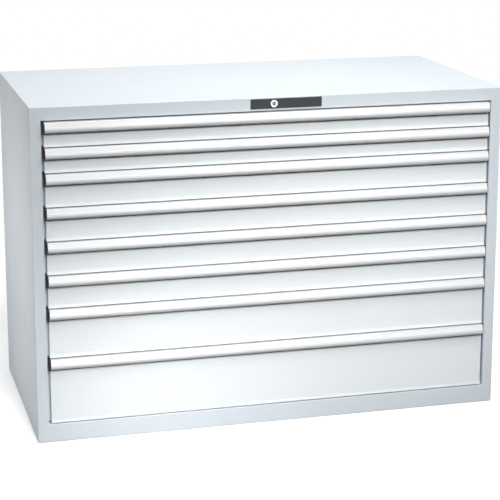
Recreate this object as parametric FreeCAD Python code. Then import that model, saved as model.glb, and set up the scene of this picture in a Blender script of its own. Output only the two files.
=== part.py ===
"""Workshop drawer cabinet: a welded steel housing, eight telescopic drawers and one central lock.

Millimetres. X runs to the right along the front, Y to the back and Z up. The origin is the middle
of the footprint on the floor, and the footprint counts the handles that stand proud of the front.
"""

import FreeCAD
import Part
import math
import os

# Housing
cabinet_width = 1431.0
housing_depth = 707.0
stile_width = 33.5
top_strip_height = 40.0
plinth_height = 56.0
housing_sheet = 1.5
bend_radius = 2.5
frame_return = 20.0
rear_flange = 25.0
back_panel_side_gap = 1.2
anchor_hole_radius = 5.5
anchor_inset_side = 95.5
anchor_inset_ends = 60.0

# Height step of the drawers and of the slots that carry them; each drawer's steps, from the top
height_step = 25.0
drawer_steps = [3, 3, 4, 4, 4, 4, 6, 8]

# Drawer fronts and the gaps round them
front_gap = 3.0
bottom_gap = 4.0
side_gap = 7.0
front_sheet = 1.5
front_return = 14.0
front_return_gap = 1.5
front_edge_radius = 1.0
hem_height = 9.0
hem_flare = 1.5
finger_recess = 12.0
recess_drop = 6.0
recess_slope = 5.0

# Handle strip
handle_height = 31.0
handle_proud = 18.0
handle_lean = 19.0
handle_curve_radius = 10.0
handle_wall = 2.6
handle_web = 2.0
handle_flange = 18.0
handle_top_chamfer = 1.0
label_lip = 2.0
label_recess = 1.0
label_thickness = 0.8
label_clearance = 0.2
end_cap_thickness = 1.2
cap_flange_gap = 1.5
cap_flange_setback = 0.5
cap_flange_thickness = 3.0

# Tray
tray_sheet = 1.2
tray_rail_gap = 29.1
tray_lift = 2.0
tray_headroom = 15.0
tray_bend_radius = 2.4
rim_height = 8.0
wing_side_gap = 1.5

# Slides, one on each side of a tray
roller_width = 4.0
small_roller_radius = 12.5
large_roller_radius = 14.7
roller_clearance = 0.3
slide_gap = 0.5
tray_rail_sheet = 1.5
cabinet_rail_sheet = 2.0
rail_rear_gap = 47.0
carriage_thickness = 3.0
carriage_height = 22.0
carriage_setback = 6.0
carriage_rail_gap = 20.0
roller_inset = 15.0
roller_pair_gap = 70.0
axle_radius = 3.0
axle_hub_radius = 5.0
axle_clearance = 0.1
slide_height = 20.0

# Runner posts
post_setback = 34.0
post_width = 40.0
post_sheet = 1.5
slot_width = 14.0
slot_height = 5.0

# Lock plate and cylinder
lock_drop = 18.5
lock_plate_length = 216.0
lock_plate_height = 29.0
lock_plate_thickness = 3.0
lock_plate_left = 70.0
lock_plate_chamfer = 1.0
cylinder_lip = 1.0
cylinder_face_thickness = 1.5
cylinder_shank_radius = 9.5
cylinder_length = 20.0
plug_radius = 6.5
plug_clearance = 0.08
plug_proud = 0.5
key_slot_width = 2.6
key_slot_height = 9.0
key_slot_depth = 12.0

# Lock crank, link and bar
crank_throw = 8.0
crank_start_angle = 45.0
crank_disc_radius = 11.0
crank_disc_thickness = 3.0
pin_radius = 2.0
crank_slot_play = 0.35
bar_slot_play = 0.2
link_thickness = 2.0
link_height = 12.0
link_rise = 1.0
link_end_margin = 6.0
link_guide_places = [200.0, 480.0]
guide_sheet = 1.5
guide_wall = 3.0
guide_clearance = 0.3
lock_bar_width = 16.0
lock_bar_thickness = 3.0
lock_bar_side_gap = 4.0
lock_bar_foot = 10.0
link_bar_gap = 1.0
hook_height = 6.0
hook_rail_gap = 1.5
hook_reach = 16.0
lug_height = 6.0
lug_hook_gap = 1.5
lug_reach = 13.0
lug_thickness = 4.0
lug_gap = 1.3
bar_guide_rise = 28.0

# Two places nearer to each other than this are one place
same_place = 0.001

# Places worked out from the sizes above
opening_height = bottom_gap + sum(drawer_steps) * height_step
cabinet_height = plinth_height + opening_height + top_strip_height
overall_depth = housing_depth + handle_proud
frame_face = handle_proud - overall_depth / 2.0
back_face = frame_face + housing_depth
half_width = cabinet_width / 2.0
opening_half = half_width - stile_width
front_half = opening_half - side_gap
strip_bottom = cabinet_height - top_strip_height
fold_inside = bend_radius - housing_sheet

# Across a slide, from the tray's wall outwards
slide_space = (
    tray_rail_sheet
    + 2.0 * roller_width
    + carriage_thickness
    + cabinet_rail_sheet
    + 4.0 * slide_gap
)
tray_half = opening_half - slide_space
small_roller_x = tray_half + tray_rail_sheet + slide_gap
carriage_x = small_roller_x + roller_width + slide_gap
large_roller_x = carriage_x + carriage_thickness + slide_gap
cabinet_rail_x = opening_half - cabinet_rail_sheet
tray_rail_inside = small_roller_radius + roller_clearance
cabinet_rail_inside = large_roller_radius + roller_clearance

# Behind the frame's face
front_depth = finger_recess + 2.0 * front_sheet + front_return_gap
rail_back = housing_depth - rail_rear_gap
tray_back = rail_back - tray_rail_gap
carriage_front = post_setback + carriage_setback
carriage_back = rail_back - carriage_rail_gap
small_roller_depth = carriage_front + roller_inset
large_roller_depth = carriage_back - roller_inset
roller_spread = (large_roller_depth - small_roller_depth - roller_pair_gap) / 2.0
lock_bar_back = post_setback - guide_clearance
lock_bar_front = lock_bar_back - lock_bar_thickness
link_back = lock_bar_front - link_bar_gap
link_front = link_back - link_thickness
crank_front = cylinder_length + guide_clearance
crank_back = crank_front + crank_disc_thickness

# Lock linkage: the crank pin starts left of its top place and ends as far right of it
lock_height = cabinet_height - lock_drop
crank_offset = crank_throw * math.sin(math.radians(crank_start_angle))
lock_travel = 2.0 * crank_offset
lock_bar_x = opening_half + lock_bar_side_gap
bar_pin_x = lock_bar_x + lock_bar_width / 2.0
bar_pin_height = lock_height - lock_travel / 2.0

# Above the low edge of a drawer's share of the opening
slide_rise = tray_lift + slide_height
hook_rise = slide_rise + cabinet_rail_inside + cabinet_rail_sheet + hook_rail_gap
lug_rise = hook_rise + hook_height + lug_hook_gap


def behind(distance):
    """Y of a place that lies this far behind the frame's front face."""
    return frame_face + distance


def box(x_low, x_high, y_low, y_high, z_low, z_high):
    corner = FreeCAD.Vector(x_low, y_low, z_low)
    return Part.makeBox(x_high - x_low, y_high - y_low, z_high - z_low, corner)


def extruded(corners, direction):
    """The closed polygon through the corners, pushed along a direction."""
    outline = Part.makePolygon(corners + corners[:1])
    return Part.Face(outline).extrude(direction)


def prism_along_x(points, x_low, x_high):
    """Points are (distance behind the frame's face, height)."""
    corners = [FreeCAD.Vector(x_low, behind(depth), height) for depth, height in points]
    return extruded(corners, FreeCAD.Vector(x_high - x_low, 0.0, 0.0))


def prism_along_y(points, y_low, y_high):
    """Points are (x, height)."""
    corners = [FreeCAD.Vector(x, y_low, height) for x, height in points]
    return extruded(corners, FreeCAD.Vector(0.0, y_high - y_low, 0.0))


def prism_along_z(points, z_low, z_high):
    """Points are (x, distance behind the frame's face)."""
    corners = [FreeCAD.Vector(x, behind(depth), z_low) for x, depth in points]
    return extruded(corners, FreeCAD.Vector(0.0, 0.0, z_high - z_low))


def rod_along_y(radius, x, depth_low, depth_high, height):
    base = FreeCAD.Vector(x, behind(depth_low), height)
    return Part.makeCylinder(radius, depth_high - depth_low, base, FreeCAD.Vector(0.0, 1.0, 0.0))


def rod_along_x(radius, x_low, x_high, depth, height):
    base = FreeCAD.Vector(x_low, behind(depth), height)
    return Part.makeCylinder(radius, x_high - x_low, base, FreeCAD.Vector(1.0, 0.0, 0.0))


def lies_on(edge, place):
    """True where both ends of the edge have the coordinates that the place gives."""
    ends = [vertex.Point for vertex in edge.Vertexes]
    return all(abs(getattr(end, axis) - place[axis]) < same_place for end in ends for axis in place)


def rounded(shape, radius, places):
    """Rounds each edge that lies on one of the places, which are dictionaries of coordinates."""
    edges = [edge for edge in shape.Edges if any(lies_on(edge, place) for place in places)]
    return shape.makeFillet(radius, edges)


def mirrored(shape):
    """The same shape on the other side of the cabinet."""
    return shape.mirror(FreeCAD.Vector(0.0, 0.0, 0.0), FreeCAD.Vector(1.0, 0.0, 0.0))


def both_sides(solids):
    return solids + [mirrored(solid) for solid in solids]


def drawer_cells():
    """The lowest and highest height of each drawer's share of the opening, from the top down."""
    cells = []
    high = strip_bottom
    for steps in drawer_steps:
        low = high - steps * height_step
        cells.append((low, high))
        high = low
    return cells


def side_panel():
    """The right-hand side: stile and its return in front, wall, and flange behind."""
    outer = half_width
    wall = outer - housing_sheet
    flange_end = outer - rear_flange
    return_end = opening_half + housing_sheet
    back = housing_depth
    points = [
        (outer, 0.0),
        (opening_half, 0.0),
        (opening_half, frame_return + housing_sheet),
        (return_end, frame_return + housing_sheet),
        (return_end, housing_sheet),
        (wall, housing_sheet),
        (wall, back - housing_sheet),
        (flange_end, back - housing_sheet),
        (flange_end, back),
        (outer, back),
    ]
    panel = prism_along_z(points, plinth_height, strip_bottom)
    outer_folds = [
        {"x": outer, "y": frame_face},
        {"x": opening_half, "y": frame_face},
        {"x": outer, "y": back_face},
    ]
    inner_folds = [
        {"x": return_end, "y": behind(housing_sheet)},
        {"x": wall, "y": behind(housing_sheet)},
        {"x": wall, "y": back_face - housing_sheet},
    ]
    panel = rounded(panel, bend_radius, outer_folds)
    return rounded(panel, fold_inside, inner_folds)


def corner_places(half, front, back):
    return [{"x": x, "y": y} for x in (-half, half) for y in (front, back)]


def rim_places(half, front, back, height):
    sides = [{"x": x, "z": height} for x in (-half, half)]
    ends = [{"y": y, "z": height} for y in (front, back)]
    return sides + ends


def pan(closed_height, open_height):
    """A shallow tray over the whole footprint, closed at one height and open at the other."""
    low = min(closed_height, open_height)
    high = max(closed_height, open_height)
    shell = box(-half_width, half_width, frame_face, back_face, low, high)
    outside = corner_places(half_width, frame_face, back_face)
    outside += rim_places(half_width, frame_face, back_face, closed_height)
    shell = rounded(shell, bend_radius, outside)

    half = half_width - housing_sheet
    front = frame_face + housing_sheet
    back = back_face - housing_sheet
    upward = 1.0 if open_height > closed_height else -1.0
    floor = closed_height + upward * housing_sheet
    mouth = open_height + upward * housing_sheet
    room = box(-half, half, front, back, min(floor, mouth), max(floor, mouth))
    inside = corner_places(half, front, back) + rim_places(half, front, back, floor)
    return shell.cut(rounded(room, fold_inside, inside))


def frame_fold(edge_height, outward):
    """The fold along a strip's edge at the drawers: a short length of strip and its return."""
    leg = edge_height + outward * 2.0 * bend_radius
    web = edge_height + outward * housing_sheet
    points = [
        (0.0, leg),
        (0.0, edge_height),
        (frame_return + housing_sheet, edge_height),
        (frame_return + housing_sheet, web),
        (housing_sheet, web),
        (housing_sheet, leg),
    ]
    fold = prism_along_x(points, -opening_half, opening_half)
    fold = rounded(fold, bend_radius, [{"y": frame_face, "z": edge_height}])
    return rounded(fold, fold_inside, [{"y": behind(housing_sheet), "z": web}])


def with_fold(panel, edge_height, outward):
    """Replaces the raw edge of a pan's front strip between the stiles by a folded one."""
    leg = edge_height + outward * 2.0 * bend_radius
    raw_edge = box(
        -opening_half,
        opening_half,
        frame_face - housing_sheet,
        behind(housing_sheet),
        min(edge_height, leg),
        max(edge_height, leg),
    )
    return panel.cut(raw_edge).fuse(frame_fold(edge_height, outward)).removeSplitter()


def link_guide(x):
    """A tab under the top that the lock's link slides through."""
    link_low = lock_height + link_rise
    link_high = link_low + link_height
    front = behind(link_front - guide_clearance)
    back = behind(link_back + guide_clearance)
    tab = box(
        x,
        x + guide_sheet,
        front - guide_wall,
        back + guide_wall,
        link_low - guide_clearance - guide_wall,
        cabinet_height - housing_sheet,
    )
    window = box(
        x - guide_sheet,
        x + 2.0 * guide_sheet,
        front,
        back,
        link_low - guide_clearance,
        link_high + guide_clearance,
    )
    return tab.cut(window)


def top_panel():
    panel = with_fold(pan(cabinet_height, strip_bottom), strip_bottom, 1.0)
    for x in link_guide_places:
        panel = panel.fuse(link_guide(x))
    hole_radius = cylinder_shank_radius + guide_clearance
    return panel.cut(rod_along_y(hole_radius, 0.0, -housing_sheet, 2.0 * housing_sheet, lock_height))


def anchor_holes():
    x = half_width - anchor_inset_side
    front = behind(anchor_inset_ends)
    back = back_face - anchor_inset_ends
    upright = FreeCAD.Vector(0.0, 0.0, 1.0)
    holes = []
    for hole_x in (-x, x):
        for hole_y in (front, back):
            base = FreeCAD.Vector(hole_x, hole_y, -housing_sheet)
            holes.append(Part.makeCylinder(anchor_hole_radius, 3.0 * housing_sheet, base, upright))
    return holes


def base_plinth():
    plinth = with_fold(pan(0.0, plinth_height), plinth_height, -1.0)
    for hole in anchor_holes():
        plinth = plinth.cut(hole)
    return plinth


def back_panel():
    half = half_width - housing_sheet - back_panel_side_gap
    back = back_face - housing_sheet
    top = cabinet_height - housing_sheet - fold_inside
    return box(-half, half, back - housing_sheet, back, housing_sheet + fold_inside, top)


def runner_post(front):
    """One right-hand upright: a slotted web beside the drawers, and two flanges to the wall."""
    wall = half_width - housing_sheet
    web_back = opening_half + post_sheet
    low = housing_sheet + fold_inside
    high = cabinet_height - housing_sheet - fold_inside
    points = [
        (wall, front),
        (opening_half, front),
        (opening_half, front + post_width),
        (wall, front + post_width),
        (wall, front + post_width - post_sheet),
        (web_back, front + post_width - post_sheet),
        (web_back, front + post_sheet),
        (wall, front + post_sheet),
    ]
    post = prism_along_z(points, low, high)
    slot_front = behind(front + (post_width - slot_width) / 2.0)
    slots = []
    for index in range(sum(drawer_steps)):
        slot_low = plinth_height + (index + 0.5) * height_step
        slots.append(
            box(
                opening_half - post_sheet,
                web_back + post_sheet,
                slot_front,
                slot_front + slot_width,
                slot_low,
                slot_low + slot_height,
            )
        )
    return post.cut(Part.makeCompound(slots))


def bar_guide(cell_low):
    """A loop on the right front post that the lock bar slides through."""
    low = cell_low + bar_guide_rise
    left = lock_bar_x - guide_clearance
    right = lock_bar_x + lock_bar_width + guide_clearance
    front = behind(lock_bar_front - guide_clearance)
    back = behind(post_setback)
    loop = box(
        left - guide_wall,
        right + guide_wall,
        front - guide_wall,
        back,
        low,
        low + guide_sheet,
    )
    window = box(left, right, front, back, low - guide_sheet, low + 2.0 * guide_sheet)
    return loop.cut(window)


def runner_posts(cells):
    front_post = runner_post(post_setback)
    rear_post = runner_post(rail_back - post_width)
    guided_post = front_post
    for cell_low, cell_high in cells[1::3]:
        guided_post = guided_post.fuse(bar_guide(cell_low))
    return Part.makeCompound([guided_post, rear_post, mirrored(front_post), mirrored(rear_post)])


def slide_middle(cell_low):
    """Height of a drawer's slides."""
    return cell_low + slide_rise


def channel(web_outside, web_inside, mouth, inside, sheet, height, front, back):
    """A rail of C section along Y; inside is half of its clear height."""
    outside = inside + sheet
    points = [
        (web_outside, height - outside),
        (mouth, height - outside),
        (mouth, height - inside),
        (web_inside, height - inside),
        (web_inside, height + inside),
        (mouth, height + inside),
        (mouth, height + outside),
        (web_outside, height + outside),
    ]
    return prism_along_y(points, behind(front), behind(back))


def cabinet_rail(cell_low):
    return channel(
        opening_half,
        cabinet_rail_x,
        large_roller_x,
        cabinet_rail_inside,
        cabinet_rail_sheet,
        slide_middle(cell_low),
        post_setback,
        rail_back,
    )


def cabinet_rails(cells):
    return Part.makeCompound(both_sides([cabinet_rail(cell_low) for cell_low, cell_high in cells]))


def tray_rail(cell_low):
    return channel(
        tray_half,
        tray_half + tray_rail_sheet,
        small_roller_x + roller_width,
        tray_rail_inside,
        tray_rail_sheet,
        slide_middle(cell_low),
        front_depth + tray_sheet,
        tray_back,
    )


def roller(radius, wheel_x, hub_x, depth, height):
    """A roller with its hub against the carriage bar and its axle through the bar."""
    wheel = rod_along_x(radius, wheel_x, wheel_x + roller_width, depth, height)
    hub = rod_along_x(axle_hub_radius, hub_x, hub_x + slide_gap, depth, height)
    axle = rod_along_x(axle_radius, carriage_x, carriage_x + carriage_thickness, depth, height)
    return wheel.fuse(hub).fuse(axle).removeSplitter()


def carriage(cell_low):
    """The right-hand middle member: small rollers run in the tray's rail, large ones in the fixed."""
    height = slide_middle(cell_low)
    outer_face = carriage_x + carriage_thickness
    bar = box(
        carriage_x,
        outer_face,
        behind(carriage_front),
        behind(carriage_back),
        height - carriage_height / 2.0,
        height + carriage_height / 2.0,
    )
    small_places = [small_roller_depth, small_roller_depth + roller_spread]
    large_places = [large_roller_depth - roller_spread, large_roller_depth]
    for depth in small_places + large_places:
        hole_radius = axle_radius + axle_clearance
        bar = bar.cut(rod_along_x(hole_radius, carriage_x, outer_face, depth, height))
    solids = [bar]
    for depth in small_places:
        hub_x = small_roller_x + roller_width
        solids.append(roller(small_roller_radius, small_roller_x, hub_x, depth, height))
    for depth in large_places:
        solids.append(roller(large_roller_radius, large_roller_x, outer_face, depth, height))
    return solids


def carriages(cell_low):
    return Part.makeCompound(both_sides(carriage(cell_low)))


def tray_shell(cell_low, cell_high):
    """The floor and the four walls of a tray, with a folded rim."""
    low = cell_low + tray_lift
    high = cell_high - tray_headroom
    front = behind(front_depth)
    back = behind(tray_back)
    outside = box(-tray_half, tray_half, front, back, low, high)
    outside = rounded(outside, tray_bend_radius, rim_places(tray_half, front, back, low))

    half = tray_half - tray_sheet
    inner_front = front + tray_sheet
    inner_back = back - tray_sheet
    floor = low + tray_sheet
    room = box(-half, half, inner_front, inner_back, floor, high + tray_sheet)
    inner_radius = tray_bend_radius - tray_sheet
    room = rounded(room, inner_radius, rim_places(half, inner_front, inner_back, floor))
    shell = outside.cut(room)

    rim = box(-half, half, inner_front, inner_back, high - rim_height, high)
    rim_half = half - tray_sheet
    rim_front = inner_front + tray_sheet
    rim_back = inner_back - tray_sheet
    mouth = box(-rim_half, rim_half, rim_front, rim_back, high - 2.0 * rim_height, high + rim_height)
    return shell.fuse(rim.cut(mouth)).removeSplitter()


def lug(cell_low):
    """The block on a tray's right wall that the lock's hook stops."""
    front = behind(lock_bar_back + lug_gap)
    low = cell_low + lug_rise
    return box(
        tray_half,
        tray_half + lug_reach,
        front,
        front + lug_thickness,
        low,
        low + lug_height,
    )


def wing(cell_low, cell_high):
    """The strip beside a tray's front wall that closes the gap between the front and the stile."""
    return box(
        tray_half,
        opening_half - wing_side_gap,
        behind(front_depth),
        behind(front_depth + tray_sheet),
        cell_low + tray_lift,
        cell_high - tray_headroom,
    )


def tray(cell_low, cell_high):
    """The tray with what is welded to it: a rail and a wing on each side and the lug."""
    sides = both_sides([tray_rail(cell_low), wing(cell_low, cell_high)])
    return Part.makeCompound([tray_shell(cell_low, cell_high), lug(cell_low)] + sides)


def drawer_front(cell_low, cell_high):
    """A hollow front: flared hem, finger recess behind the handle, and a flange round its back."""
    top = cell_high - front_gap
    face_top = top - handle_height - recess_drop
    outline = [
        (front_depth, cell_low),
        (-hem_flare, cell_low),
        (0.0, cell_low + hem_height),
        (0.0, face_top),
        (finger_recess, face_top + recess_slope),
        (finger_recess, top),
        (front_depth, top),
    ]
    front = prism_along_x(outline, -front_half, front_half)
    face_edges = [{"x": x, "y": frame_face} for x in (-front_half, front_half)]
    front = rounded(front, front_edge_radius, face_edges + [{"y": frame_face, "z": face_top}])

    slope = recess_slope / finger_recess
    drop = front_sheet * math.hypot(1.0, slope)
    recess_wall = finger_recess + front_sheet
    rear = front_depth - front_sheet
    room = [
        (rear, cell_low + front_sheet),
        (front_sheet - hem_flare, cell_low + front_sheet),
        (front_sheet, cell_low + hem_height),
        (front_sheet, face_top + slope * front_sheet - drop),
        (recess_wall, face_top + slope * recess_wall - drop),
        (recess_wall, top - front_sheet),
        (rear, top - front_sheet),
    ]
    half = front_half - front_sheet
    front = front.cut(prism_along_x(room, -half, half))
    window = box(
        front_return - front_half,
        front_half - front_return,
        behind(recess_wall),
        behind(front_depth + front_sheet),
        cell_low + front_return,
        top - front_return,
    )
    return front.cut(window)


def handle_points(top):
    """The handle's section: the leaning label face, the curve under it, and places along both."""
    lean = math.radians(handle_lean)
    middle = (handle_curve_radius - handle_proud, top - handle_height + handle_curve_radius)
    foot = (
        middle[0] - handle_curve_radius * math.cos(lean),
        middle[1] + handle_curve_radius * math.sin(lean),
    )
    face_length = (top - handle_top_chamfer - foot[1]) / math.cos(lean)

    def on_face(along, inward):
        depth = foot[0] + along * math.sin(lean) + inward * math.cos(lean)
        height = foot[1] + along * math.cos(lean) - inward * math.sin(lean)
        return (depth, height)

    return middle, face_length, on_face


def place(x, point):
    return FreeCAD.Vector(x, behind(point[0]), point[1])


def arc_edge(x, middle, radius, start, turn):
    """An arc across X, in the plane of depth and height, from a start point round a middle."""
    begin = math.atan2(start[1] - middle[1], start[0] - middle[0])
    points = []
    for share in (0.0, 0.5, 1.0):
        angle = begin + share * turn
        spot = (middle[0] + radius * math.cos(angle), middle[1] + radius * math.sin(angle))
        points.append(place(x, spot))
    return Part.Arc(points[0], points[1], points[2]).toShape()


def line_edges(x, points):
    return [Part.makeLine(place(x, a), place(x, b)) for a, b in zip(points, points[1:])]


def extruded_edges(edges, length):
    wire = Part.Wire(Part.__sortEdges__(edges))
    return Part.Face(wire).extrude(FreeCAD.Vector(length, 0.0, 0.0))


def handle(cell_high):
    """The extrusion: flange, web, label face with its channel, and the curled finger lip."""
    top = cell_high - front_gap
    middle, face_length, on_face = handle_points(top)
    x_low = end_cap_thickness - front_half
    length = 2.0 * (front_half - end_cap_thickness)
    lean = math.radians(handle_lean)
    curl = math.pi / 2.0 + math.radians(handle_lean)
    inner_radius = handle_curve_radius - handle_wall
    foot = on_face(0.0, 0.0)
    inner_foot = on_face(0.0, handle_wall)
    lip = (middle[0], top - handle_height)
    lip_inside = (middle[0], top - handle_height + handle_wall)
    web_under = top - handle_web
    inner_length = (web_under - inner_foot[1]) / math.cos(lean)
    outside = [
        (finger_recess, top),
        (on_face(face_length, 0.0)[0] + handle_top_chamfer, top),
        on_face(face_length, 0.0),
        on_face(face_length - label_lip, 0.0),
        on_face(face_length - label_lip, label_recess),
        on_face(label_lip, label_recess),
        on_face(label_lip, 0.0),
        foot,
    ]
    inside = [
        inner_foot,
        on_face(inner_length, handle_wall),
        (finger_recess - handle_web, web_under),
        (finger_recess - handle_web, top - handle_flange),
        (finger_recess, top - handle_flange),
        (finger_recess, top),
    ]
    edges = line_edges(x_low, outside)
    edges.append(arc_edge(x_low, middle, handle_curve_radius, foot, curl))
    edges += line_edges(x_low, [lip, lip_inside])
    edges.append(arc_edge(x_low, middle, inner_radius, inner_foot, curl))
    edges += line_edges(x_low, inside)
    return extruded_edges(edges, length)


def label_strip(cell_high):
    top = cell_high - front_gap
    face_length, on_face = handle_points(top)[1:]
    low = label_lip + label_clearance
    high = face_length - label_lip - label_clearance
    outer = label_recess - label_thickness
    corners = [
        on_face(low, label_recess),
        on_face(high, label_recess),
        on_face(high, outer),
        on_face(low, outer),
    ]
    half = front_half - end_cap_thickness - label_clearance
    return prism_along_x(corners, -half, half)


def cap_flange(top):
    """The flange of an end cap, which fills the gap between the front and the stile."""
    return box(
        front_half,
        opening_half - cap_flange_gap,
        behind(cap_flange_setback),
        behind(cap_flange_setback + cap_flange_thickness),
        top - handle_height - recess_drop,
        top,
    )


def end_caps(cell_high):
    """Two closed caps with the handle's outline, each with a flange beside the front."""
    top = cell_high - front_gap
    middle, face_length, on_face = handle_points(top)
    foot = on_face(0.0, 0.0)
    lip = (middle[0], top - handle_height)
    x_low = front_half - end_cap_thickness
    outline = [
        lip,
        (finger_recess, top - handle_height),
        (finger_recess, top),
        (on_face(face_length, 0.0)[0] + handle_top_chamfer, top),
        on_face(face_length, 0.0),
        foot,
    ]
    edges = line_edges(x_low, outline)
    curl = math.pi / 2.0 + math.radians(handle_lean)
    edges.append(arc_edge(x_low, middle, handle_curve_radius, foot, curl))
    cap = extruded_edges(edges, end_cap_thickness).fuse(cap_flange(top)).removeSplitter()
    return Part.makeCompound(both_sides([cap]))


def lock_plate():
    low = lock_height - lock_plate_height / 2.0
    high = lock_height + lock_plate_height / 2.0
    left = -lock_plate_left
    right = lock_plate_length - lock_plate_left
    front = behind(-lock_plate_thickness)
    plate = box(left, right, front, frame_face, low, high)
    rim = [{"x": x, "y": front} for x in (left, right)] + [{"y": front, "z": z} for z in (low, high)]
    edges = [edge for edge in plate.Edges if any(lies_on(edge, spot) for spot in rim)]
    plate = plate.makeChamfer(lock_plate_chamfer, edges)
    hole_radius = cylinder_shank_radius + guide_clearance
    return plate.cut(rod_along_y(hole_radius, 0.0, -2.0 * lock_plate_thickness, 0.0, lock_height))


def lock_cylinder():
    face = -lock_plate_thickness
    ring_radius = cylinder_shank_radius + cylinder_lip
    ring = rod_along_y(ring_radius, 0.0, face - cylinder_face_thickness, face, lock_height)
    shank = rod_along_y(cylinder_shank_radius, 0.0, face, cylinder_length, lock_height)
    body = ring.fuse(shank).removeSplitter()
    bore_radius = plug_radius + plug_clearance
    bore = rod_along_y(bore_radius, 0.0, 2.0 * face, crank_front, lock_height)
    return body.cut(bore)


def crank_pin_height():
    return lock_height + crank_offset


def lock_plug():
    """The part that the key turns, with the crank disc and pin on its inner end."""
    face = -lock_plate_thickness - cylinder_face_thickness - plug_proud
    plug = rod_along_y(plug_radius, 0.0, face, crank_front, lock_height)
    disc = rod_along_y(crank_disc_radius, 0.0, crank_front, crank_back, lock_height)
    pin_end = link_back + link_bar_gap / 2.0
    pin = rod_along_y(pin_radius, -crank_offset, crank_back, pin_end, crank_pin_height())
    key_slot = box(
        -key_slot_width / 2.0,
        key_slot_width / 2.0,
        behind(face - plug_proud),
        behind(face + key_slot_depth),
        lock_height - key_slot_height / 2.0,
        lock_height + key_slot_height / 2.0,
    )
    return plug.fuse(disc).fuse(pin).removeSplitter().cut(key_slot)


def slot_between(start, end, radius, depth_low, depth_high):
    """A round-ended slot through the link, from one pin place to the other."""
    slot = rod_along_y(radius, start[0], depth_low, depth_high, start[1])
    slot = slot.fuse(rod_along_y(radius, end[0], depth_low, depth_high, end[1]))
    length = math.hypot(end[0] - start[0], end[1] - start[1])
    across = (
        radius * (end[1] - start[1]) / length,
        radius * (start[0] - end[0]) / length,
    )
    corners = [
        (start[0] + across[0], start[1] + across[1]),
        (end[0] + across[0], end[1] + across[1]),
        (end[0] - across[0], end[1] - across[1]),
        (start[0] - across[0], start[1] - across[1]),
    ]
    return slot.fuse(prism_along_y(corners, behind(depth_low), behind(depth_high)))


def lock_link():
    """The flat bar behind the top strip: an upright slot for the crank, a sloping one for the bar."""
    low = lock_height + link_rise
    high = low + link_height
    front = behind(link_front)
    back = behind(link_back)
    left = -crank_offset - link_end_margin
    plate_low = bar_pin_height - link_end_margin
    plate_high = bar_pin_height + lock_travel + link_end_margin
    plate_left = bar_pin_x - lock_travel - link_end_margin
    plate_right = bar_pin_x + link_end_margin
    strip = box(left, plate_right, front, back, low, high)
    plate = box(plate_left, plate_right, front, back, plate_low, plate_high)
    cut_front = link_front - link_thickness
    cut_back = link_back + link_thickness
    crank_slot = slot_between(
        (-crank_offset, crank_pin_height()),
        (-crank_offset, lock_height + crank_throw),
        pin_radius + crank_slot_play,
        cut_front,
        cut_back,
    )
    bar_slot = slot_between(
        (bar_pin_x, bar_pin_height),
        (bar_pin_x - lock_travel, bar_pin_height + lock_travel),
        pin_radius + bar_slot_play,
        cut_front,
        cut_back,
    )
    return strip.fuse(plate).removeSplitter().cut(crank_slot).cut(bar_slot)


def lock_bar(cells):
    """The upright bar behind the right stile, a hook for each drawer and the link's pin."""
    front = behind(lock_bar_front)
    back = behind(lock_bar_back)
    right = lock_bar_x + lock_bar_width
    lowest = cells[-1][0] + lock_bar_foot
    solids = [box(lock_bar_x, right, front, back, lowest, bar_pin_height + link_end_margin)]
    for cell_low, cell_high in cells:
        hook_low = cell_low + hook_rise
        hook_left = lock_bar_x - hook_reach
        solids.append(box(hook_left, lock_bar_x, front, back, hook_low, hook_low + hook_height))
    pin_front = link_front - link_bar_gap
    solids.append(rod_along_y(pin_radius, bar_pin_x, pin_front, lock_bar_front, bar_pin_height))
    return Part.makeCompound(solids)


def drawer_nodes(number, cell_low, cell_high):
    name = "drawer_%d_" % number
    return {
        name + "front": drawer_front(cell_low, cell_high),
        name + "handle": handle(cell_high),
        name + "label": label_strip(cell_high),
        name + "end_caps": end_caps(cell_high),
        name + "tray": tray(cell_low, cell_high),
        name + "carriages": carriages(cell_low),
    }


def main():
    cells = drawer_cells()
    right_panel = side_panel()
    nodes = {
        "side_panel_right": right_panel,
        "side_panel_left": mirrored(right_panel),
        "back_panel": back_panel(),
        "top_panel": top_panel(),
        "base_plinth": base_plinth(),
        "runner_posts": runner_posts(cells),
        "cabinet_rails": cabinet_rails(cells),
        "lock_plate": lock_plate(),
        "lock_cylinder": lock_cylinder(),
        "lock_plug": lock_plug(),
        "lock_link": lock_link(),
        "lock_bar": lock_bar(cells),
    }
    for index, (cell_low, cell_high) in enumerate(cells):
        nodes.update(drawer_nodes(index + 1, cell_low, cell_high))

    os.makedirs("parts", exist_ok=True)
    for name, shape in nodes.items():
        shape.exportStep("parts/%s.step" % name)
    print("cabinet %.1f x %.1f x %.1f mm" % (cabinet_width, overall_depth, cabinet_height))


main()
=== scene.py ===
"""Looks of the workshop drawer cabinet: paint, metal, slotted trays, slides, light and camera.

Metres. X runs to the right along the front, Y to the back and Z up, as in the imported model.
"""

import math

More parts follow.
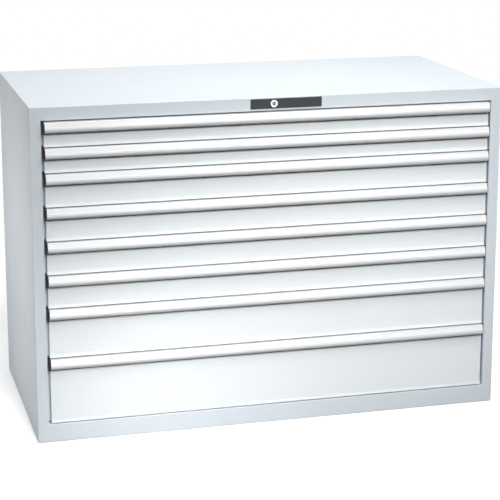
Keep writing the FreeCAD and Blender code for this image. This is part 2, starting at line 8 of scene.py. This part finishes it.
import bmesh
import bpy
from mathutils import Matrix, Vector


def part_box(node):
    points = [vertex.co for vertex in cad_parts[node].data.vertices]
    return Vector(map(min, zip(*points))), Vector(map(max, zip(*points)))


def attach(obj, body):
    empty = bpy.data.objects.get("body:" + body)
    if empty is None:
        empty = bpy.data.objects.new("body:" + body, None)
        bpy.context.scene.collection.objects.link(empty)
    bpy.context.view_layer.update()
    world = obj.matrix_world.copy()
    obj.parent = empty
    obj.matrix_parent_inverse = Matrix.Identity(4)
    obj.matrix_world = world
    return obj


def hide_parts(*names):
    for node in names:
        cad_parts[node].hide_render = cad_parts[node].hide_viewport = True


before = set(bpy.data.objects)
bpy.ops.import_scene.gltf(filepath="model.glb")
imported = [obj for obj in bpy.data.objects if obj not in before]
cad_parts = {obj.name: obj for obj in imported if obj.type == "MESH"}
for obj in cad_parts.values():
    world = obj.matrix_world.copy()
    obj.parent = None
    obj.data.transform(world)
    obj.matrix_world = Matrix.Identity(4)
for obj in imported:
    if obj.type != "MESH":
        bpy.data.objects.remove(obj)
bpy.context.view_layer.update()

DRAWERS = range(1, 9)

# Trays, which stand for the CAD trays: their half width, then their slots and rims
TRAY_HALF = 0.6655
WING_HALF = 0.6805
SHEET = 0.0012
WALL_MARGIN = 0.02
SLOT_PITCH = 0.017
SLOT_WIDTH = 0.0026
SLOT_FROM_FLOOR = 0.012
SLOT_FROM_RIM = 0.004
RIM_HEIGHT = 0.008
FLOOR_SLOT_LENGTH = 0.014
FLOOR_ROWS = 5

# Keyway: painted shade on its walls, which starts and is full at these depths behind the plug's
# face, and the colour of that painted shade
KEYWAY_RIM = 0.0001
KEYWAY_FULL_SHADE = 0.0006
KEYWAY_SHADE_COLOUR = (0.012, 0.012, 0.013, 1.0)

# Rails and lugs on the trays
RAIL_SHEET = 0.0015
RAIL_MOUTH = 0.006
RAIL_INSIDE = 0.0128
LUG_DEPTH = 0.0350
LUG_THICKNESS = 0.004
LUG_RISE = 0.026
LUG_HEIGHT = 0.006
LUG_REACH = 0.013

# Carriages: bars, rollers and the rivets that hold them
BAR_INNER = 0.672
BAR_OUTER = 0.675
BAR_HEIGHT = 0.022
BAR_CORNER = 0.005
BAR_CORNER_STEPS = 6
CARRIAGE_FRONT = 0.040
CARRIAGE_BACK = 0.640
SMALL_INNER = 0.6675
SMALL_OUTER = 0.6715
SMALL_RADIUS = 0.0125
SMALL_ROLLERS = (0.055, 0.305)
LARGE_INNER = 0.6755
LARGE_OUTER = 0.6795
LARGE_RADIUS = 0.0147
LARGE_ROLLERS = (0.375, 0.625)
ROUND_STEPS = 48
ROLLER_CHAMFER = 0.0006
ROLLER_DISH = 0.0008
ROLLER_HUB = 0.0052
ROLLER_RIM_INNER = 0.0035
ROLLER_RIM_OUTER = 0.0028
RIVET_CORE = 0.0012
RIVET_HUB = 0.0050
RIVET_HEAD = 0.0040
RIVET_HEAD_SHOULDER = 0.0032
RIVET_HEAD_TOP = 0.0016
RIVET_RISE = 0.0004
RIVET_SHOULDER_SHARE = 0.7

# The face of the frame, from which depths behind it are counted
FRAME_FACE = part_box("side_panel_left")[0].y


# Node materials

# The range in which most values of a noise lie
NOISE_LOW = 0.3
NOISE_HIGH = 0.7


class Paint:
    """A material under construction: short names for the nodes that every recipe here needs."""

    def __init__(self, name):
        self.material = bpy.data.materials.new(name)
        self.material.use_nodes = True
        self.nodes = self.material.node_tree.nodes
        self.links = self.material.node_tree.links
        self.shader = self.nodes["Principled BSDF"]
        self.place = self.nodes.new("ShaderNodeTexCoord").outputs["Object"]

    def join(self, source, target):
        self.links.new(source, target)

    def stretched(self, scale):
        """Object coordinates, stretched: a low number along an axis draws long marks along it."""
        mapping = self.nodes.new("ShaderNodeMapping")
        mapping.inputs["Scale"].default_value = scale
        self.join(self.place, mapping.inputs["Vector"])
        return mapping.outputs["Vector"]

    def noise(self, scale, detail=2.0, at=None, roughness=0.5):
        node = self.nodes.new("ShaderNodeTexNoise")
        node.inputs["Scale"].default_value = scale
        node.inputs["Detail"].default_value = detail
        node.inputs["Roughness"].default_value = roughness
        self.join(at or self.place, node.inputs["Vector"])
        return node.outputs["Fac"]

    def spread(self, value, low, high, to_low, to_high):
        node = self.nodes.new("ShaderNodeMapRange")
        node.inputs["From Min"].default_value = low
        node.inputs["From Max"].default_value = high
        node.inputs["To Min"].default_value = to_low
        node.inputs["To Max"].default_value = to_high
        self.join(value, node.inputs["Value"])
        return node.outputs["Result"]

    def over_noise(self, noise, to_low, to_high):
        return self.spread(noise, NOISE_LOW, NOISE_HIGH, to_low, to_high)

    def clouded(self, noise, colour, dark, light):
        """A darker and a lighter shade of a colour, mixed by a noise."""
        share = self.over_noise(noise, 0.0, 1.0)
        return self.mix(share, shaded(colour, dark), shaded(colour, light))

    def math(self, operation, a, b):
        node = self.nodes.new("ShaderNodeMath")
        node.operation = operation
        for socket, value in zip(node.inputs, (a, b)):
            if isinstance(value, float):
                socket.default_value = value
            else:
                self.join(value, socket)
        return node.outputs["Value"]

    def mix(self, share, a, b):
        node = self.nodes.new("ShaderNodeMix")
        node.data_type = "RGBA"
        self.join(share, node.inputs["Factor"])
        for socket, value in zip((node.inputs[6], node.inputs[7]), (a, b)):
            if isinstance(value, tuple):
                socket.default_value = value
            else:
                self.join(value, socket)
        return node.outputs[2]

    def bump(self, height, strength, distance, under=None):
        node = self.nodes.new("ShaderNodeBump")
        node.inputs["Strength"].default_value = strength
        node.inputs["Distance"].default_value = distance
        self.join(height, node.inputs["Height"])
        if under is not None:
            self.join(under, node.inputs["Normal"])
        return node.outputs["Normal"]

    def set(self, **values):
        for name, value in values.items():
            self.shader.inputs[name.replace("_", " ")].default_value = value

    def colour(self, source):
        self.join(source, self.shader.inputs["Base Color"])

    def roughness(self, source):
        self.join(source, self.shader.inputs["Roughness"])

    def normal(self, source):
        self.join(source, self.shader.inputs["Normal"])


def linear(red, green, blue):
    """A colour given as it shows on the screen, 0 to 255, as the shader wants it."""

    def one(value):
        value /= 255.0
        return value / 12.92 if value <= 0.04045 else ((value + 0.055) / 1.055) ** 2.4

    return (one(red), one(green), one(blue), 1.0)


def shaded(colour, factor):
    return tuple(min(1.0, channel * factor) for channel in colour[:3]) + (1.0,)


def powder_coat(name, colour, rough=0.42, grain=520.0, peel=0.10, shine=0.5):
    """Baked powder paint: fine orange peel, a faint cloud in the tone and a trace of speckle."""
    paint = Paint(name)
    tone = paint.clouded(paint.noise(scale=2.4, detail=3.0), colour, dark=0.985, light=1.012)
    dots = paint.noise(scale=1500.0, detail=1.0)
    speckle = paint.spread(dots, low=0.60, high=0.72, to_low=0.0, to_high=0.10)
    paint.colour(paint.mix(speckle, tone, shaded(colour, 0.86)))
    patches = paint.noise(scale=9.0, detail=4.0)
    paint.roughness(paint.over_noise(patches, rough - 0.03, rough + 0.04))
    paint.set(Specular_IOR_Level=shine)
    fine = paint.noise(scale=grain, detail=2.0)
    wave = paint.noise(scale=grain / 7.0, detail=1.0)
    waved = paint.bump(wave, strength=peel, distance=0.0008)
    paint.normal(paint.bump(fine, strength=peel, distance=0.0004, under=waved))
    return paint.material


def anodised(name, colour):
    """Extruded aluminium, etched and anodised: fine draw lines along X and a pale film."""
    paint = Paint(name)
    lines = paint.noise(1.0, 3.0, paint.stretched((3.0, 2600.0, 2600.0)), roughness=0.6)
    tone = paint.clouded(paint.noise(scale=3.0, detail=2.0), colour, dark=0.97, light=1.02)
    drawn = paint.spread(lines, low=0.35, high=0.75, to_low=0.0, to_high=0.25)
    paint.set(Metallic=0.25)
    paint.colour(paint.mix(drawn, tone, shaded(colour, 0.82)))
    paint.roughness(paint.over_noise(lines, 0.34, 0.48))
    paint.normal(paint.bump(lines, strength=0.12, distance=0.0002))
    return paint.material


def zinc(name, colour, along):
    """Bright zinc on rolled steel: faint flowers in the tone and rolling lines along the piece."""
    paint = Paint(name)
    scale = [4.0 if axis == along else 700.0 for axis in "xyz"]
    lines = paint.noise(1.0, 3.0, paint.stretched(scale), roughness=0.6)
    cells = paint.nodes.new("ShaderNodeTexVoronoi")
    cells.inputs["Scale"].default_value = 130.0
    paint.join(paint.place, cells.inputs["Vector"])
    flower = paint.nodes.new("ShaderNodeSeparateColor")
    paint.join(cells.outputs["Color"], flower.inputs["Color"])
    flower = flower.outputs["Red"]
    paint.set(Metallic=1.0)
    paint.colour(paint.mix(flower, shaded(colour, 0.94), shaded(colour, 1.04)))
    drawn = paint.over_noise(lines, 0.24, 0.40)
    paint.roughness(paint.math("ADD", drawn, paint.math("MULTIPLY", flower, 0.03)))
    paint.normal(paint.bump(lines, strength=0.10, distance=0.0002))
    return paint.material


def moulded(name, colour, rough, grain):
    """Moulded plastic with a fine spark-eroded grain."""
    paint = Paint(name)
    fine = paint.noise(scale=grain, detail=3.0, roughness=0.6)
    cloud = paint.noise(scale=14.0, detail=2.0)
    paint.colour(paint.clouded(cloud, colour, dark=0.9, light=1.1))
    paint.roughness(paint.over_noise(fine, rough - 0.06, rough + 0.08))
    paint.normal(paint.bump(fine, strength=0.25, distance=0.0002))
    return paint.material


def paper(name, colour):
    """The label band: blank white card behind a thin clear film."""
    paint = Paint(name)
    fibre = paint.noise(900.0, 4.0, paint.stretched((1.0, 1.0, 2.2)), roughness=0.7)
    tone = paint.clouded(paint.noise(scale=5.0, detail=2.0), colour, dark=0.985, light=1.0)
    threads = paint.spread(fibre, low=0.4, high=0.8, to_low=0.0, to_high=0.25)
    paint.colour(paint.mix(threads, tone, shaded(colour, 0.93)))
    paint.roughness(paint.over_noise(fibre, 0.42, 0.52))
    paint.set(Coat_Weight=0.35, Coat_Roughness=0.18)
    paint.normal(paint.bump(fibre, strength=0.04, distance=0.0001))
    return paint.material


def turned(name, colour, middle_z, rough, face_y=None):
    """Satin nickel turned round the lock's axis, with painted shade in the keyway behind a given
    face.
    """
    paint = Paint(name)
    shifted = paint.nodes.new("ShaderNodeMapping")
    shifted.inputs["Location"].default_value = (0.0, 0.0, -middle_z)
    paint.join(paint.place, shifted.inputs["Vector"])
    split = paint.nodes.new("ShaderNodeSeparateXYZ")
    paint.join(shifted.outputs["Vector"], split.inputs["Vector"])
    across = paint.math("MULTIPLY", split.outputs["X"], split.outputs["X"])
    upward = paint.math("MULTIPLY", split.outputs["Z"], split.outputs["Z"])
    radius = paint.math("SQRT", paint.math("ADD", across, upward), 0.0)
    ring = paint.nodes.new("ShaderNodeCombineXYZ")
    paint.join(radius, ring.inputs["X"])
    rings = paint.noise(9000.0, 2.0, ring.outputs["Vector"], roughness=0.6)
    tone = paint.clouded(rings, colour, dark=0.88, light=1.05)
    gloss = paint.over_noise(rings, rough - 0.05, rough + 0.07)
    if face_y is None:
        paint.set(Metallic=1.0)
    else:
        # Painted shade in the keyway: its walls turn dark, rougher and less metallic with depth
        # behind the plug's face
        deep = paint.spread(split.outputs["Y"], face_y + KEYWAY_RIM, face_y + KEYWAY_FULL_SHADE, 0.0, 1.0)
        tone = paint.mix(deep, tone, KEYWAY_SHADE_COLOUR)
        gloss = paint.math("ADD", gloss, paint.math("MULTIPLY", deep, 0.5))
        paint.join(paint.math("SUBTRACT", 1.0, deep), paint.shader.inputs["Metallic"])
    paint.colour(tone)
    paint.roughness(gloss)
    paint.normal(paint.bump(rings, strength=0.15, distance=0.00005))
    return paint.material


# Meshes


def new_piece(name, mesh_maker, materials, body, node):
    """One object from a mesh under construction; it rides on a body and stands for a CAD node."""
    mesh = bpy.data.meshes.new(name)
    work = bmesh.new()
    mesh_maker(work)
    bmesh.ops.recalc_face_normals(work, faces=work.faces)
    work.to_mesh(mesh)
    work.free()
    for material in materials:
        mesh.materials.append(material)
    piece = bpy.data.objects.new(name, mesh)
    bpy.context.scene.collection.objects.link(piece)
    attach(piece, body)
    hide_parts(node)


# The corners of each face of a block, in the order in which block makes its corners
BLOCK_FACES = (
    (0, 1, 3, 2), (4, 6, 7, 5), (0, 4, 5, 1), (2, 3, 7, 6), (0, 2, 6, 4), (1, 5, 7, 3)
)


def block(work, low, high):
    """A closed box between two corners."""
    spots = [
        work.verts.new((x, y, z))
        for x in (low[0], high[0])
        for y in (low[1], high[1])
        for z in (low[2], high[2])
    ]
    for ring in BLOCK_FACES:
        work.faces.new([spots[index] for index in ring])


def prism(work, rings):
    """A closed piece between two equal rings of corners."""
    for ring in rings:
        work.faces.new(ring)
    for index in range(len(rings[0])):
        after = (index + 1) % len(rings[0])
        work.faces.new([rings[0][index], rings[0][after], rings[1][after], rings[1][index]])


def pierced_sheet(work, corner, along, up, through, u_cuts, v_cuts, is_hole):
    """A sheet of real thickness on a grid of cuts, open in the cells that is_hole names."""
    corner, along, up, through = (Vector(item) for item in (corner, along, up, through))
    spots = {}

    def spot(i, j, side):
        key = (i, j, side)
        if key not in spots:
            spots[key] = work.verts.new(
                corner + along * u_cuts[i] + up * v_cuts[j] + through * side
            )
        return spots[key]

    columns = len(u_cuts) - 1
    rows = len(v_cuts) - 1

    def solid(i, j):
        return 0 <= i < columns and 0 <= j < rows and not is_hole(i, j)

    for i in range(columns):
        for j in range(rows):
            if not solid(i, j):
                continue
            for side in (0, 1):
                corners = ((i, j), (i + 1, j), (i + 1, j + 1), (i, j + 1))
                work.faces.new([spot(u, v, side) for u, v in corners])
            for a, b, neighbour in (
                ((i, j), (i + 1, j), (i, j - 1)),
                ((i + 1, j), (i + 1, j + 1), (i + 1, j)),
                ((i + 1, j + 1), (i, j + 1), (i, j + 1)),
                ((i, j + 1), (i, j), (i - 1, j)),
            ):
                if not solid(*neighbour):
                    work.faces.new([spot(*a, 0), spot(*b, 0), spot(*b, 1), spot(*a, 1)])


def slot_cuts(length):
    """Places of the slot edges along a wall, centred, on the pitch."""
    count = int((length - 2.0 * WALL_MARGIN) / SLOT_PITCH)
    start = (length - (count - 1) * SLOT_PITCH) / 2.0
    cuts = [0.0]
    for index in range(count):
        middle = start + index * SLOT_PITCH
        cuts += [middle - SLOT_WIDTH / 2.0, middle + SLOT_WIDTH / 2.0]
    return cuts + [length]


def odd_column_middle_row(i, j):
    return i % 2 == 1 and j == 1


def odd_column_odd_row(i, j):
    return i % 2 == 1 and j % 2 == 1


def channel_rail(work, side, wall, height, front, back):
    """A C rail on the tray's wall, open away from it."""
    inside = RAIL_INSIDE
    web = wall + side * RAIL_SHEET
    mouth = wall + side * RAIL_MOUTH
    outside = inside + RAIL_SHEET
    points = [
        (wall, -outside), (mouth, -outside), (mouth, -inside), (web, -inside),
        (web, inside), (mouth, inside), (mouth, outside), (wall, outside),
    ]
    prism(work, [[work.verts.new((x, y, height + z)) for x, z in points] for y in (front, back)])


def tray_maker(number):
    """The tray of one drawer, with the rails, wings and lug that are welded to it."""
    low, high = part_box("drawer_%d_tray" % number)
    bar_low, bar_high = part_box("drawer_%d_carriages" % number)
    half = TRAY_HALF
    slide_height = (bar_low.z + bar_high.z) / 2.0
    front = low.y
    back = high.y
    base = low.z
    rim = high.z

    def make(work):
        wall = rim - base
        wall_rows = [SHEET, SHEET + SLOT_FROM_FLOOR, wall - RIM_HEIGHT - SLOT_FROM_RIM, wall]
        wide = slot_cuts(2.0 * half)
        deep = slot_cuts(back - front)
        right, inward, upward = (1, 0, 0), (0, 1, 0), (0, 0, 1)
        for y in (front, back - SHEET):
            pierced_sheet(
                work, (-half, y, base), right, upward, (0, SHEET, 0),
                wide, wall_rows, odd_column_middle_row,
            )
        inner = [cut - SHEET for cut in deep[1:-1]]
        inner = [0.0] + inner + [back - front - 2.0 * SHEET]
        for x in (-half, half - SHEET):
            pierced_sheet(
                work, (x, front + SHEET, base), inward, upward, (SHEET, 0, 0),
                inner, wall_rows, odd_column_middle_row,
            )
        spacing = (back - front) / (FLOOR_ROWS + 1)
        rows = [0.0]
        for index in range(FLOOR_ROWS):
            middle = spacing * (index + 1)
            rows += [middle - FLOOR_SLOT_LENGTH / 2.0, middle + FLOOR_SLOT_LENGTH / 2.0]
        rows.append(back - front)
        pierced_sheet(
            work, (-half, front, base), right, inward, (0, 0, SHEET),
            wide, rows, odd_column_odd_row,
        )
        rolled = 2.0 * SHEET
        rim_low = rim - RIM_HEIGHT
        block(work, (-half + SHEET, front + SHEET, rim_low), (half - SHEET, front + rolled, rim))
        block(work, (-half + SHEET, back - rolled, rim_low), (half - SHEET, back - SHEET, rim))
        block(work, (-half + SHEET, front + rolled, rim_low), (-half + rolled, back - rolled, rim))
        block(work, (half - rolled, front + rolled, rim_low), (half - SHEET, back - rolled, rim))
        for side in (-1.0, 1.0):
            channel_rail(work, side, side * half, slide_height, front + SHEET, back)
            inner, outer = sorted((side * half, side * WING_HALF))
            block(work, (inner, front, base), (outer, front + SHEET, rim))
        lug_front = frame_y(LUG_DEPTH)
        lug_low = slide_height + LUG_RISE
        block(
            work,
            (half, lug_front, lug_low),
            (half + LUG_REACH, lug_front + LUG_THICKNESS, lug_low + LUG_HEIGHT),
        )

    return make


def frame_y(depth):
    return FRAME_FACE + depth


def disc_ring(work, x, centre, radius):
    turns = [2.0 * math.pi * step / ROUND_STEPS for step in range(ROUND_STEPS)]
    return [
        work.verts.new(
            (x, centre[0] + radius * math.cos(turn), centre[1] + radius * math.sin(turn))
        )
        for turn in turns
    ]


def lathe_x(work, profile, centre, material):
    """A closed turned piece about an axis along X; the profile is (x, radius) from end to end."""
    rings = [disc_ring(work, x, centre, radius) for x, radius in profile]
    for ring in (rings[0], rings[-1]):
        work.faces.new(ring).material_index = material
    for first, second in zip(rings, rings[1:]):
        for index in range(len(first)):
            after = (index + 1) % len(first)
            face = work.faces.new([first[index], first[after], second[after], second[index]])
            face.material_index = material
            face.smooth = True


def roller_profile(side, inner, outer, radius):
    """A wheel with chamfered edges, a dished web and a hub, from its inner to its outer face."""
    half = [
        (ROLLER_DISH, ROLLER_HUB),
        (ROLLER_DISH, radius - ROLLER_RIM_INNER),
        (0.0, radius - ROLLER_RIM_OUTER),
        (0.0, radius - ROLLER_CHAMFER),
        (ROLLER_CHAMFER, radius),
    ]
    near = [(side * (inner + depth), reach) for depth, reach in half]
    far = [(side * (outer - depth), reach) for depth, reach in reversed(half)]
    return near + far


# The carriage's materials after the bar's own, by their place in its list
ROLLER = 1
RIVET = 2


def carriage_maker(number):
    """Both middle members of a drawer's slides: bars, rollers and the heads of their rivets."""
    low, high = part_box("drawer_%d_carriages" % number)
    height = (low.z + high.z) / 2.0
    front = frame_y(CARRIAGE_FRONT)
    back = frame_y(CARRIAGE_BACK)

    def make(work):
        for side in (-1.0, 1.0):
            x_low, x_high = sorted((side * BAR_INNER, side * BAR_OUTER))
            round_bar(work, x_low, x_high, front, back, height)
            for depth in SMALL_ROLLERS:
                centre = (frame_y(depth), height)
                wheel = roller_profile(side, SMALL_INNER, SMALL_OUTER, SMALL_RADIUS)
                lathe_x(work, wheel, centre, ROLLER)
                lathe_x(work, rivet_profile(side, SMALL_INNER, BAR_INNER), centre, RIVET)
                lathe_x(work, rivet_head(side * BAR_OUTER, side), centre, RIVET)
            for depth in LARGE_ROLLERS:
                centre = (frame_y(depth), height)
                wheel = roller_profile(side, LARGE_INNER, LARGE_OUTER, LARGE_RADIUS)
                lathe_x(work, wheel, centre, ROLLER)
                lathe_x(work, rivet_profile(side, BAR_OUTER, LARGE_OUTER), centre, RIVET)
                lathe_x(work, rivet_head(side * BAR_INNER, -side), centre, RIVET)

    return make


def rivet_profile(side, start, end):
    """The hub between bar and roller, with a riveted end just under the roller's face."""
    return [
        (side * start, RIVET_CORE),
        (side * start, RIVET_HUB),
        (side * end, RIVET_HUB),
        (side * end, RIVET_CORE),
    ]


def rivet_head(x, side):
    """A low dome on the bar's free side; the slide gap leaves it under half a millimetre."""
    rise = side * RIVET_RISE
    return [
        (x - rise, RIVET_HEAD),
        (x, RIVET_HEAD),
        (x + rise * RIVET_SHOULDER_SHARE, RIVET_HEAD_SHOULDER),
        (x + rise, RIVET_HEAD_TOP),
    ]


def round_bar(work, x_low, x_high, front, back, height):
    """The flat bar with rounded corners."""
    radius = BAR_HEIGHT / 2.0
    corner = BAR_CORNER
    points = []
    for centre_y, centre_z, start in (
        (back - corner, radius - corner, 0.0),
        (front + corner, radius - corner, 90.0),
        (front + corner, corner - radius, 180.0),
        (back - corner, corner - radius, 270.0),
    ):
        for step in range(BAR_CORNER_STEPS + 1):
            angle = math.radians(start + step * 90.0 / BAR_CORNER_STEPS)
            points.append(
                (centre_y + corner * math.cos(angle), height + centre_z + corner * math.sin(angle))
            )
    prism(work, [[work.verts.new((x, y, z)) for y, z in points] for x in (x_low, x_high)])


# The cabinet

HOUSING = linear(216, 224, 230)
FRONT = linear(234, 239, 242)
TRAY = linear(208, 215, 220)

housing_coat = powder_coat("housing_coat", HOUSING, shine=0.22)
front_coat = powder_coat("front_coat", FRONT, rough=0.40)
tray_coat = powder_coat("tray_coat", TRAY, rough=0.38, peel=0.06)
handle_finish = anodised("handle_anodised", (0.60, 0.605, 0.612, 1.0))
label_card = paper("label_card", linear(229, 230, 231))
cap_plastic = moulded("cap_plastic", (0.014, 0.014, 0.016, 1.0), 0.42, 1400.0)
plate_plastic = moulded("plate_plastic", linear(36, 38, 39), 0.5, 1100.0)
lock_low, lock_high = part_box("lock_cylinder")
lock_height = (lock_low.z + lock_high.z) / 2.0
cylinder_metal = turned("cylinder_nickel", (0.55, 0.55, 0.545, 1.0), lock_height, 0.24)
plug_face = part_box("lock_plug")[0].y
plug_metal = turned("plug_nickel", (0.27, 0.27, 0.27, 1.0), lock_height, 0.38, plug_face)
rail_zinc = zinc("rail_zinc", (0.56, 0.57, 0.58, 1.0), "y")
link_zinc = zinc("link_zinc", (0.66, 0.67, 0.68, 1.0), "x")
bar_zinc = zinc("bar_zinc", (0.66, 0.67, 0.68, 1.0), "z")
roller_steel = zinc("roller_steel", (0.58, 0.585, 0.59, 1.0), "x")
rivet_steel = zinc("rivet_steel", (0.50, 0.50, 0.505, 1.0), "x")


def dress(node, material):
    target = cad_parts[node]
    if not target.material_slots:
        target.data.materials.append(material)
    for entry in target.material_slots:
        entry.material = material


for node in (
    "side_panel_left", "side_panel_right", "back_panel", "top_panel", "base_plinth", "runner_posts"
):
    dress(node, housing_coat)
dress("cabinet_rails", rail_zinc)
dress("lock_plate", plate_plastic)
dress("lock_cylinder", cylinder_metal)
dress("lock_plug", plug_metal)
dress("lock_link", link_zinc)
dress("lock_bar", bar_zinc)
for number in DRAWERS:
    dress("drawer_%d_front" % number, front_coat)
    dress("drawer_%d_handle" % number, handle_finish)
    dress("drawer_%d_label" % number, label_card)
    dress("drawer_%d_end_caps" % number, cap_plastic)
    new_piece(
        "drawer_%d_slotted_tray" % number,
        tray_maker(number),
        [tray_coat],
        "drawer_%d" % number,
        "drawer_%d_tray" % number,
    )
    new_piece(
        "carriage_%d_rollers_and_bars" % number,
        carriage_maker(number),
        [rail_zinc, roller_steel, rivet_steel],
        "carriage_%d" % number,
        "drawer_%d_carriages" % number,
    )


# Studio

# The floor: what the camera sees it give off, what it throws back on the cabinet, where it
# turns into the white background, how far it reaches and how far it lies under the cabinet
FLOOR_LIFT = 0.3
FLOOR_BOUNCE = 0.08
FLOOR_FADE = (1.1, 2.2)
FLOOR_HALF = 30.0
FLOOR_DROP = 0.0002
WORLD_LIGHT = 0.05
WHITE = (1.0, 1.0, 1.0, 1.0)

# Camera: it looks down and to the right, and its lens is shifted a little
CAMERA_PLACE = (-1.3073, -4.9518, 1.7927)
CAMERA_DOWN = 0.2259
CAMERA_TURN = 0.262
CAMERA_LENS = 119.70
CAMERA_SHIFT = -0.1
CAMERA_SENSOR = 36.0
CAMERA_REACH = 200.0


def looked_at(nodes, links):
    """1 where the camera, a gloss or a clear piece looks, 0 where a surface only gathers light."""
    ray = nodes.new("ShaderNodeLightPath")
    share = ray.outputs["Is Camera Ray"]
    for name in ("Is Glossy Ray", "Is Transmission Ray"):
        either = nodes.new("ShaderNodeMath")
        either.operation = "MAXIMUM"
        links.new(share, either.inputs[0])
        links.new(ray.outputs[name], either.inputs[1])
        share = either.outputs["Value"]
    return share


def make_floor():
    """A plain white floor that turns into the white background away from the cabinet."""
    work = bmesh.new()
    bmesh.ops.create_grid(work, x_segments=8, y_segments=8, size=FLOOR_HALF)
    mesh = bpy.data.meshes.new("floor")
    work.to_mesh(mesh)
    work.free()
    floor = bpy.data.objects.new("floor", mesh)
    floor.location = (0.0, 0.0, -FLOOR_DROP)
    bpy.context.scene.collection.objects.link(floor)
    paint = Paint("floor_white")
    paint.roughness(paint.over_noise(paint.noise(scale=180.0, detail=3.0), 0.82, 0.95))
    paint.set(Base_Color=(0.93, 0.93, 0.93, 1.0), Specular_IOR_Level=0.1)
    paint.set(Emission_Color=WHITE, Emission_Strength=FLOOR_LIFT)
    white = paint.nodes.new("ShaderNodeEmission")
    white.inputs["Color"].default_value = WHITE
    white.inputs["Strength"].default_value = 1.0
    distance = paint.nodes.new("ShaderNodeVectorMath")
    distance.operation = "LENGTH"
    paint.join(paint.place, distance.inputs[0])
    share = paint.spread(distance.outputs["Value"], *FLOOR_FADE, 0.0, 1.0)
    seen = paint.nodes.new("ShaderNodeMixShader")
    paint.join(share, seen.inputs["Fac"])
    paint.join(paint.shader.outputs["BSDF"], seen.inputs[1])
    paint.join(white.outputs["Emission"], seen.inputs[2])
    grey = paint.nodes.new("ShaderNodeBsdfDiffuse")
    grey.inputs["Color"].default_value = (FLOOR_BOUNCE, FLOOR_BOUNCE, FLOOR_BOUNCE, 1.0)
    both = paint.nodes.new("ShaderNodeMixShader")
    paint.join(looked_at(paint.nodes, paint.links), both.inputs["Fac"])
    paint.join(grey.outputs["BSDF"], both.inputs[1])
    paint.join(seen.outputs["Shader"], both.inputs[2])
    paint.join(both.outputs["Shader"], paint.nodes["Material Output"].inputs["Surface"])
    mesh.materials.append(paint.material)


def make_world(strength):
    """White where the camera or a gloss looks at it, softer where it only lights the object."""
    world = bpy.data.worlds.new("studio")
    world.use_nodes = True
    nodes = world.node_tree.nodes
    links = world.node_tree.links
    soft = nodes["Background"]
    soft.inputs["Color"].default_value = (0.97, 0.985, 1.0, 1.0)
    soft.inputs["Strength"].default_value = strength
    white = nodes.new("ShaderNodeBackground")
    white.inputs["Color"].default_value = WHITE
    white.inputs["Strength"].default_value = 1.0
    both = nodes.new("ShaderNodeMixShader")
    links.new(looked_at(nodes, links), both.inputs["Fac"])
    links.new(soft.outputs["Background"], both.inputs[1])
    links.new(white.outputs["Background"], both.inputs[2])
    links.new(both.outputs["Shader"], nodes["World Output"].inputs["Surface"])
    bpy.context.scene.world = world


def add_lamp(name, data, place, aim):
    lamp = bpy.data.objects.new(name, data)
    lamp.location = place
    direction = Vector(aim) - Vector(place)
    lamp.rotation_euler = direction.to_track_quat("-Z", "Y").to_euler()
    lamp.visible_camera = False
    bpy.context.scene.collection.objects.link(lamp)


def make_lamp(name, place, aim, size, power):
    data = bpy.data.lights.new(name, "AREA")
    data.shape = "RECTANGLE"
    data.size, data.size_y = size
    data.energy = power
    add_lamp(name, data, place, aim)


def make_spot(name, place, aim, angle, power, radius):
    """A round pool of light with a soft rim."""
    data = bpy.data.lights.new(name, "SPOT")
    data.energy = power
    data.spot_size = math.radians(angle)
    data.spot_blend = 1.0
    data.shadow_soft_size = radius
    add_lamp(name, data, place, aim)


def make_camera():
    data = bpy.data.cameras.new("camera")
    data.lens = CAMERA_LENS
    data.sensor_width = CAMERA_SENSOR
    data.shift_y = CAMERA_SHIFT
    data.clip_end = CAMERA_REACH
    camera = bpy.data.objects.new("camera", data)
    camera.location = CAMERA_PLACE
    camera.rotation_euler = (math.pi / 2.0 - CAMERA_DOWN, 0.0, -CAMERA_TURN)
    bpy.context.scene.collection.objects.link(camera)
    bpy.context.scene.camera = camera


make_floor()
make_world(WORLD_LIGHT)
# Lamps: place, the point aimed at, size and watts
make_lamp("high_front", (1.55, -2.4, 4.5), (0.5, -0.3, 0.6), (2.4, 0.9), 63.0)
make_lamp("above_front", (0.0, -1.65, 4.0), (0.0, -0.3, 0.4), (3.3, 0.75), 29.2)
make_lamp("front_high", (0.0, -4.44, 4.28), (0.0, -0.3, 0.5), (4.32, 1.44), 100.4)
make_lamp("front_low", (0.35, -3.672, 0.15), (0.1, -0.36, 0.15), (1.9, 0.45), 14.0)
make_lamp("top_soft", (0.0, 0.2, 2.4), (0.0, 0.2, 1.0), (1.8, 0.7), 13.5)
make_lamp("side_soft", (-1.57, 0.0, 0.53), (-0.7, 0.0, 0.53), (0.7, 0.4), 5.0)
make_lamp("back_soft", (0.4, 3.2, 0.55), (0.0, 0.36, 0.5), (2.4, 0.8), 50.0)
make_lamp("right_soft", (3.4, 0.4, 0.5), (0.7, 0.1, 0.5), (1.6, 0.8), 36.0)
# Spots: place, the point aimed at, angle, watts and radius
make_spot("pool_left", (-0.3, -4.4, 3.5), (-0.4, -0.36, 0.15), 20.5, 350.0, 0.54)
make_spot("pool_right", (0.98, -4.752, 3.592), (0.35, -0.36, 0.46), 20.5, 557.0, 0.54)
make_spot("pool_plinth", (-0.3, -4.0, 2.1), (-0.42, -0.36, 0.02), 13.5, 350.0, 0.36)
make_camera()
bpy.context.scene.view_settings.view_transform = "Standard"
